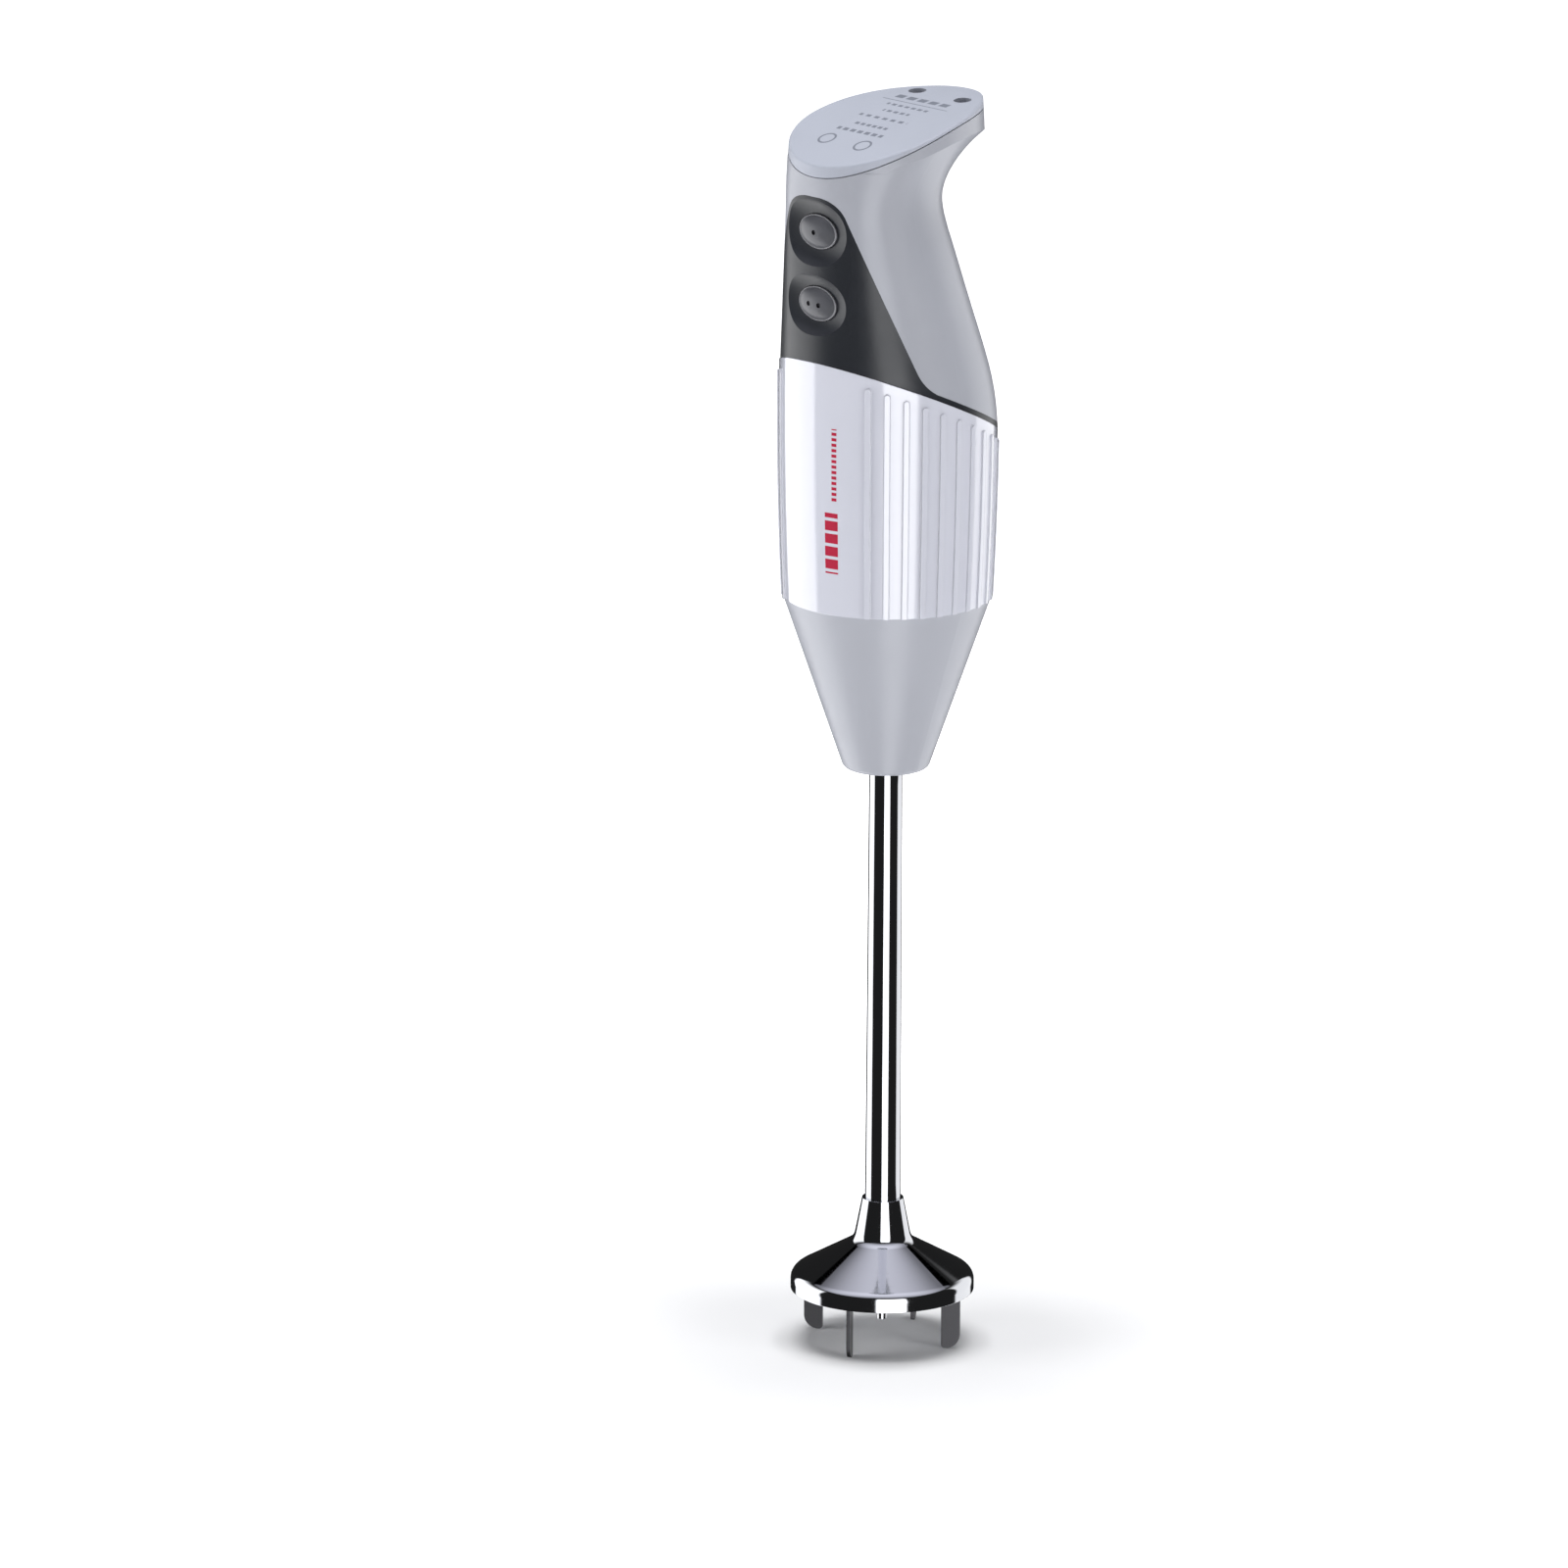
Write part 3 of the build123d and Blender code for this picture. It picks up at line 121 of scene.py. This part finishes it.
class Finish:
    """A material's node tree, with short calls that add nodes and return their output."""

    def __init__(self, name):
        self.material = bpy.data.materials.new(name)
        self.material.use_nodes = True
        self.tree = self.material.node_tree
        self.shader = self.tree.nodes["Principled BSDF"]
        self.place = self.node("ShaderNodeTexCoord").outputs["Object"]

    def node(self, kind, **settings):
        made = self.tree.nodes.new(kind)
        for name, value in settings.items():
            setattr(made, name, value)
        return made

    def feed(self, socket, value):
        if hasattr(value, "is_linked"):
            self.tree.links.new(value, socket)
        else:
            socket.default_value = value

    def math(self, operation, first, second=0.0, clamp=False):
        made = self.node("ShaderNodeMath", operation=operation, use_clamp=clamp)
        self.feed(made.inputs[0], first)
        self.feed(made.inputs[1], second)
        return made.outputs[0]

    def axes(self):
        """The place on the object as separate x, y and z."""
        parts = self.node("ShaderNodeSeparateXYZ")
        self.feed(parts.inputs[0], self.place)
        return parts.outputs

    def noise(self, scale, detail=3.0, stretch=(1, 1, 1), roughness=0.5):
        """Noise with `scale` features per metre, stretched along the axes."""
        mapping = self.node("ShaderNodeMapping")
        mapping.inputs["Scale"].default_value = stretch
        self.feed(mapping.inputs["Vector"], self.place)
        made = self.node("ShaderNodeTexNoise")
        self.feed(made.inputs["Vector"], mapping.outputs[0])
        made.inputs["Scale"].default_value = scale
        made.inputs["Detail"].default_value = detail
        made.inputs["Roughness"].default_value = roughness
        return made.outputs["Fac"]

    def spread(self, value, low, high):
        """A noise taken to run from low to high."""
        made = self.node("ShaderNodeMapRange")
        self.feed(made.inputs["Value"], value)
        made.inputs["From Min"].default_value = NOISE_RANGE[0]
        made.inputs["From Max"].default_value = NOISE_RANGE[1]
        made.inputs["To Min"].default_value = low
        made.inputs["To Max"].default_value = high
        return made.outputs["Result"]

    def mix(self, share, first, second):
        made = self.node("ShaderNodeMix", data_type="RGBA")
        self.feed(made.inputs["Factor"], share)
        self.feed(made.inputs["A"], first)
        self.feed(made.inputs["B"], second)
        return made.outputs["Result"]

    def shades(self, share, colour, change):
        """A colour that varies by `change` of itself, darker to lighter, with a share."""
        darker = tuple(channel * (1 - change) for channel in colour) + (1,)
        lighter = tuple(min(channel * (1 + change), 1) for channel in colour) + (1,)
        return self.mix(share, darker, lighter)

    def bump(self, height, depth):
        """A surface relief of `depth` metres."""
        made = self.node("ShaderNodeBump")
        made.inputs["Strength"].default_value = 1.0
        made.inputs["Distance"].default_value = depth
        self.feed(made.inputs["Height"], height)
        return made.outputs["Normal"]

    def round_edges(self, radius):
        """Takes the sharpness off every edge in the shading."""
        made = self.node("ShaderNodeBevel", samples=6)
        made.inputs["Radius"].default_value = radius
        relief = self.shader.inputs["Normal"].links[0].from_node
        self.feed(relief.inputs["Normal"], made.outputs["Normal"])
        self.feed(self.shader.inputs["Coat Normal"], made.outputs["Normal"])

    def set(self, **values):
        """Sets the shader's inputs, whose names have _ for each space here."""
        for name, value in values.items():
            self.feed(self.shader.inputs[name.replace("_", " ")], value)

    def soft(self, value, low, high, first=0.0, second=1.0):
        """A value that eases from first to second while another runs from low to high."""
        made = self.node("ShaderNodeMapRange", interpolation_type="SMOOTHSTEP")
        self.feed(made.inputs["Value"], value)
        made.inputs["From Min"].default_value = low
        made.inputs["From Max"].default_value = high
        made.inputs["To Min"].default_value = first
        made.inputs["To Max"].default_value = second
        return made.outputs["Result"]

    def fed(self, name):
        """What already feeds one of the shader's inputs."""
        return self.shader.inputs[name].links[0].from_socket

    def turn(self, x, y):
        """The azimuth about Z in degrees, from -180 to 180."""
        angle = self.math("ARCTAN2", x, self.math("MULTIPLY", y, -1.0))
        return self.math("MULTIPLY", angle, 180 / pi)

    def square_sum(self, first, second):
        """The sum of two squares."""
        return self.math("ADD", self.math("POWER", first, 2.0), self.math("POWER", second, 2.0))

    def distance(self, first, second):
        """How far a point is from the origin of two axes."""
        return self.math("SQRT", self.square_sum(first, second))

    def plateau(self, value, low, high, edge):
        """1 between low and high, easing to 0 over `edge` on both sides."""
        rise = self.soft(value, low - edge, low + edge)
        fall = self.soft(value, high - edge, high + edge, 1.0, 0.0)
        return self.math("MULTIPLY", rise, fall)

    def band(self, value, centre, half_width):
        """1 where a value is within half_width of centre."""
        offset = self.math("ABSOLUTE", self.math("SUBTRACT", value, centre))
        return self.math("LESS_THAN", offset, half_width)

    def dashes(self, value, pitch, share):
        """1 on the first `share` of every pitch along a value between -1 and 1."""
        along = self.math("FRACT", self.math("DIVIDE", self.math("ADD", value, 1.0), pitch))
        return self.math("LESS_THAN", along, share)

    def both(self, *masks):
        """Where every mask is 1."""
        joined = masks[0]
        for mask in masks[1:]:
            joined = self.math("MULTIPLY", joined, mask)
        return joined

    def either(self, *masks):
        """Where any mask is 1."""
        joined = masks[0]
        for mask in masks[1:]:
            joined = self.math("MAXIMUM", joined, mask)
        return joined


def moulded(name, colour, roughness, grain=1800, relief=0.00002, change=0.04, coat=0.0):
    """Moulded plastic: a slight mottle, a fine grain and a roughness that wanders."""
    finish = Finish(name)
    mottle = finish.noise(38, 4)
    texture = finish.noise(grain, 2)
    wear_and_painted_highlight = finish.noise(110, 5, roughness=0.6)
    finish.set(
        Base_Color=finish.shades(mottle, colour, change),
        Roughness=finish.spread(wear_and_painted_highlight, roughness * 0.92, roughness * 1.1),
        Normal=finish.bump(texture, relief),
        Coat_Weight=coat,
        Coat_Roughness=0.06,
    )
    return finish


def polished(name, colour, roughness, stretch, scale=300, relief=0.000002):
    """Polished or ground metal with faint marks along one direction."""
    finish = Finish(name)
    streaks = finish.noise(scale, 4, stretch)
    haze = finish.noise(60, 3)
    finish.set(
        Base_Color=finish.shades(haze, colour, 0.03),
        Metallic=1.0,
        Roughness=finish.spread(streaks, roughness * 0.7, roughness * 1.4),
        Normal=finish.bump(streaks, relief),
    )
    return finish


def guard_chrome():
    """Chromed bell and rim, over legs that were only ground."""
    finish = polished("guard_chrome", CHROME, 0.06, AROUND_SHAFT)
    finish.round_edges(GUARD_EDGE_ROUND)
    x, y, z = finish.axes()
    leg = finish.soft(z, *GROUND_BELOW, 1.0, 0.0)
    finish.set(
        Base_Color=finish.mix(leg, finish.fed("Base Color"), (0.13, 0.13, 0.14, 1)),
        Roughness=finish.math("ADD", finish.fed("Roughness"), finish.math("MULTIPLY", leg, 0.3)),
    )
    return finish


def casing_gloss():
    """The glossy casing, with plain red blocks and dashes in place of lettering."""
    colour = (0.56, 0.57, 0.64)
    finish = moulded("casing_gloss", colour, 0.12, relief=0.000002, change=0.02, coat=1.0)
    finish.set(Specular_IOR_Level=0.9)
    finish.round_edges(CASING_EDGE_ROUND)
    x, y, z = finish.axes()
    turn = finish.turn(x, y)
    rows = []
    for azimuth, half_width, height, half_height, pitch, share in CASING_ROWS:
        across = finish.band(turn, azimuth, half_width)
        along = finish.band(z, height, half_height)
        rows.append(finish.both(across, along, finish.dashes(z, pitch, share)))
    red = (0.42, 0.02, 0.05, 1)
    finish.set(Base_Color=finish.mix(finish.either(*rows), finish.fed("Base Color"), red))
    return finish


def cap_print():
    """The light cap, with plain printed bars and dashes in place of lettering."""
    finish = moulded("cap_plastic", (0.35, 0.37, 0.43), 0.42, relief=0.000012, change=0.03)
    x, y, z = finish.axes()
    place, half_height, half_width = CAP_LINE
    masks = [finish.both(finish.band(y, place, half_height), finish.band(x, 0.0, half_width))]
    for place, half_height, half_width, pitch, share in CAP_ROWS:
        row = finish.both(finish.band(y, place, half_height), finish.band(x, 0.0, half_width))
        masks.append(finish.both(row, finish.dashes(x, pitch, share)))
    for centre in CAP_RING_CENTRES:
        across = finish.math("SUBTRACT", x, centre[0])
        along = finish.math("SUBTRACT", y, centre[1])
        reach = finish.distance(across, along)
        masks.append(finish.band(reach, CAP_RING_RADIUS, CAP_RING_HALF_LINE))
    printed = finish.both(finish.either(*masks), finish.math("GREATER_THAN", z, CAP_PRINT_ABOVE))
    inked = finish.math("MULTIPLY", printed, CAP_INK_STRENGTH)
    ink = (0.085, 0.095, 0.12, 1)
    finish.set(Base_Color=finish.mix(inked, finish.fed("Base Color"), ink))
    return finish


def button_grey():
    """The satin buttons, with painted shade darkening the dimpled dots and a painted highlight
    lightening the front of the rim.
    """
    finish = moulded("button_grey", (0.075, 0.077, 0.087), 0.3, relief=0.000008, change=0.05)
    x, y, z = finish.axes()
    painted_dot_shade = []
    highlight_rims = []
    for name, places in BUTTON_DOTS.items():
        low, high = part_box(name)
        up = finish.math("SUBTRACT", z, (low[2] + high[2]) / 2)
        for place in places:
            across = finish.math("SUBTRACT", x, place)
            # The dimpled dots are darkened in colour: painted shade in the dimples.
            painted_dot_shade.append(finish.math("LESS_THAN", finish.square_sum(across, up), BUTTON_DOT_RADIUS**2))
        wide = finish.math("DIVIDE", x, BUTTON_HALF_SIZE[0])
        tall = finish.math("DIVIDE", up, BUTTON_HALF_SIZE[1])
        highlight_rims.append(finish.band(finish.square_sum(wide, tall), *BUTTON_HIGHLIGHT_RING))
    # The lighter ring on the front of each rim is a painted highlight, where the rim's edge would
    # catch the light.
    wear_and_painted_highlight = finish.both(finish.either(*highlight_rims), finish.math("LESS_THAN", y, BUTTON_FRONT))
    painted_rim_highlight = finish.mix(wear_and_painted_highlight, finish.fed("Base Color"), (0.26, 0.26, 0.28, 1))
    finish.set(Base_Color=finish.mix(finish.either(*painted_dot_shade), painted_rim_highlight, (0.02, 0.02, 0.025, 1)))
    return finish


def wound_copper():
    """Enamelled copper wire, wound in fine turns."""
    finish = Finish("winding_copper")
    x, y, z = finish.axes()
    turns = finish.math("SINE", finish.math("MULTIPLY", z, 2 * pi / WIRE_PITCH))
    finish.set(
        Base_Color=finish.shades(finish.noise(240, 3), (0.42, 0.15, 0.05), 0.2),
        Metallic=0.7,
        Roughness=0.3,
        Normal=finish.bump(turns, 0.00008),
    )
    return finish


FINISHES = {
    "guard_chrome": guard_chrome(),
    "tube_chrome": polished("tube_chrome", CHROME, 0.05, ALONG_SHAFT),
    "seal_rubber": moulded("seal_rubber", (0.022, 0.022, 0.024), 0.62, relief=0.00004),
    "bronze_bush": polished("bronze_bush", (0.55, 0.36, 0.18), 0.34, AROUND_SHAFT),
    "nose_plastic": moulded("nose_plastic", (0.34, 0.35, 0.39), 0.33, relief=0.000012, change=0.03),
    "plain_steel": polished("plain_steel", (0.42, 0.42, 0.44), 0.3, AROUND_SHAFT),
    "casing_gloss": casing_gloss(),
    "handle_satin": moulded("handle_satin", LIGHT_GREY, 0.31, relief=0.000008, change=0.03),
    "panel_soft_dark": moulded(
        "panel_soft_dark", (0.016, 0.018, 0.023), 0.33, grain=2800, relief=0.000012, change=0.1
    ),
    "cap_plastic": cap_print(),
    "button_grey": button_grey(),
    "switch_black": moulded("switch_black", (0.02, 0.02, 0.022), 0.4),
    "board_laminate": moulded("board_laminate", (0.30, 0.20, 0.07), 0.5, change=0.1),
    "capacitor_plastic": moulded("capacitor_plastic", (0.62, 0.36, 0.05), 0.25),
    "core_steel": polished("core_steel", (0.30, 0.30, 0.32), 0.38, (1, 1, 40)),
    "winding_copper": wound_copper(),
    "bracket_alloy": polished("bracket_alloy", (0.55, 0.55, 0.57), 0.45, (1, 1, 1), relief=0.00002),
    "bracket_plastic": moulded("bracket_plastic", (0.03, 0.03, 0.033), 0.5),
    "bearing_steel": polished("bearing_steel", STEEL, 0.2, AROUND_SHAFT),
    "brass_holder": polished("brass_holder", (0.60, 0.43, 0.16), 0.3, (1, 8, 8)),
    "carbon": moulded("carbon", (0.02, 0.02, 0.02), 0.7, relief=0.00005),
    "spring_steel": polished("spring_steel", STEEL, 0.25, (4, 4, 4)),
    "shaft_steel": polished("shaft_steel", STEEL, 0.16, AROUND_SHAFT),
    "commutator_copper": polished("commutator_copper", (0.55, 0.24, 0.10), 0.25, AROUND_SHAFT),
}

for entry in frame["record"]["subparts"]:
    node = frame["nodes"][entry["node"]]
    node.data.materials.clear()
    node.data.materials.append(FINISHES[entry["material_slot"]].material)
    node.data.shade_smooth()
    node.data.set_sharp_from_angle(angle=SHARP_ANGLE)


# ---- floor, light and camera --------------------------------------------------------


def stage_mesh(name, points, faces, material):
    """A piece of the studio, which isn't part of the object."""
    mesh = bpy.data.meshes.new(name)
    mesh.from_pydata(points, [], faces)
    mesh.materials.append(material)
    piece = bpy.data.objects.new(name, mesh)
    bpy.context.scene.collection.objects.link(piece)
    return piece


def floor_material():
    """White paper that glows a little, more so far from the object, as a lit sweep does."""
    finish = Finish("studio_floor")
    x, y, z = finish.axes()
    finish.set(
        Base_Color=finish.shades(finish.noise(3, 2), (0.88, 0.885, 0.90), 0.006),
        Roughness=0.9,
        Specular_IOR_Level=0.1,
        Emission_Color=(1, 1, 1, 1),
        Emission_Strength=finish.soft(finish.distance(x, y), *FLOOR_GLOW_REACH, 0.0, FLOOR_GLOW),
    )
    return finish.material


def unlit(name, colour, brightness):
    """A surface that only shines, with a brightness that may vary over it."""
    finish = Finish(name)
    finish.set(Base_Color=(0, 0, 0, 1), Roughness=1.0, Specular_IOR_Level=0.0, Emission_Color=colour)
    finish.set(Emission_Strength=brightness(finish))
    return finish.material


def only_reflected(piece):
    """Leaves a piece of the studio to reflections alone."""
    piece.visible_camera = False
    piece.visible_diffuse = False
    piece.visible_shadow = False
    piece.visible_transmission = False
    piece.visible_volume_scatter = False


def surround_brightness(finish):
    """Three tall soft boxes in a dark studio, with soft edges, fading towards the top."""
    x, y, z = finish.axes()
    turn = finish.turn(x, y)
    left = finish.math("MULTIPLY", finish.plateau(turn, *LEFT_BOX, BOX_EDGE), LEFT_BOX_SHARE)
    front = finish.plateau(turn, *FRONT_BOX, BOX_EDGE)
    back_start = finish.soft(turn, BACK_BOX_START - BOX_EDGE, BACK_BOX_START + BOX_EDGE)
    back_end = finish.soft(turn, *BACK_BOX_END, 1.0, 0.0)
    back = finish.math("MULTIPLY", finish.either(back_start, back_end), BACK_BOX_SHARE)
    lit = finish.math("MULTIPLY", finish.either(left, front, back), BOX_BRIGHTNESS)
    boxes = finish.math("MULTIPLY", lit, finish.soft(z, *SURROUND_FADE, 1.0, 0.0))
    return finish.math("ADD", boxes, STUDIO_BRIGHTNESS)


def ceiling_brightness(finish):
    """An overhead soft box, brightest in the middle and fading towards its edges."""
    x, y, z = finish.axes()
    across = finish.math("MULTIPLY", x, 1 / CEILING_FADE[0])
    along = finish.math("MULTIPLY", y, 1 / CEILING_FADE[1])
    return finish.soft(finish.distance(across, along), 0.05, 1.0, *CEILING_BRIGHTNESS)


def soft_light(name, azimuth, distance, height, size, power, aim=LAMP_AIM):
    """A rectangular soft light that looks at a height on the axis and isn't reflected."""
    light = bpy.data.lights.new(name, "AREA")
    light.shape = "RECTANGLE"
    light.size, light.size_y = size
    light.energy = power
    lamp = bpy.data.objects.new(name, light)
    lamp.location = direction(azimuth) * distance + Vector((0, 0, height))
    toward = Vector((0, 0, aim)) - lamp.location
    lamp.rotation_euler = toward.to_track_quat("-Z", "Y").to_euler()
    lamp.visible_glossy = False
    bpy.context.scene.collection.objects.link(lamp)


def flat_sheet(name, half_x, half_y, material):
    """A level rectangle of the studio, centred on its own origin."""
    corners = [(-half_x, -half_y, 0), (half_x, -half_y, 0), (half_x, half_y, 0), (-half_x, half_y, 0)]
    return stage_mesh(name, corners, [(0, 1, 2, 3)], material)


def surround_wall():
    """The upright wall of the studio round the object."""
    rim = [direction(step * 360 / SURROUND_STEPS) * SURROUND_RADIUS for step in range(SURROUND_STEPS)]
    points = [(place.x, place.y, height) for place in rim for height in SURROUND_HEIGHTS]
    faces = []
    for step in range(SURROUND_STEPS):
        after = (step + 1) % SURROUND_STEPS
        faces.append((2 * step, 2 * after, 2 * after + 1, 2 * step + 1))
    material = unlit("surround_light", (1.0, 1.0, 1.0, 1), surround_brightness)
    return stage_mesh("surround", points, faces, material)


floor = flat_sheet("floor", FLOOR_HALF_SIZE, FLOOR_HALF_SIZE, floor_material())
floor.visible_glossy = False

only_reflected(surround_wall())

ceiling_light = unlit("ceiling_light", (0.90, 0.90, 1.0, 1), ceiling_brightness)
ceiling = flat_sheet("ceiling", *CEILING_HALF_SIZE, ceiling_light)
ceiling.location = direction(CAMERA_AZIMUTH) * CEILING_OFFSET + Vector((0, 0, CEILING_HEIGHT))
ceiling.rotation_euler = (0, 0, radians(CAMERA_AZIMUTH))
only_reflected(ceiling)

soft_light("key", -35, 1.6, 0.55, (1.0, 1.1), 14)
soft_light("fill", 100, 1.8, 0.6, (0.8, 1.1), 11)
soft_light("top", 225, 0.1, 1.6, (1.1, 1.1), 26, aim=0.0)

world = bpy.data.worlds.new("studio")
world.use_nodes = True
background = world.node_tree.nodes["Background"]
background.inputs["Color"].default_value = (0.95, 0.96, 1.0, 1)
background.inputs["Strength"].default_value = WORLD_BRIGHTNESS
bpy.context.scene.world = world
world.cycles_visibility.glossy = False

camera = bpy.data.cameras.new("camera")
camera.lens = CAMERA_LENS
camera.sensor_width = SENSOR_WIDTH
camera.clip_end = 50
eye = bpy.data.objects.new("camera", camera)
eye.location = direction(CAMERA_AZIMUTH) * CAMERA_DISTANCE + Vector((0, 0, CAMERA_HEIGHT))
aim = (Vector(CAMERA_TARGET) - eye.location).to_track_quat("-Z", "Y").to_matrix()
eye.rotation_euler = (aim @ Matrix.Rotation(radians(CAMERA_ROLL), 3, "Z")).to_euler()
bpy.context.scene.collection.objects.link(eye)
bpy.context.scene.camera = eye
bpy.context.scene.view_settings.view_transform = "Standard"
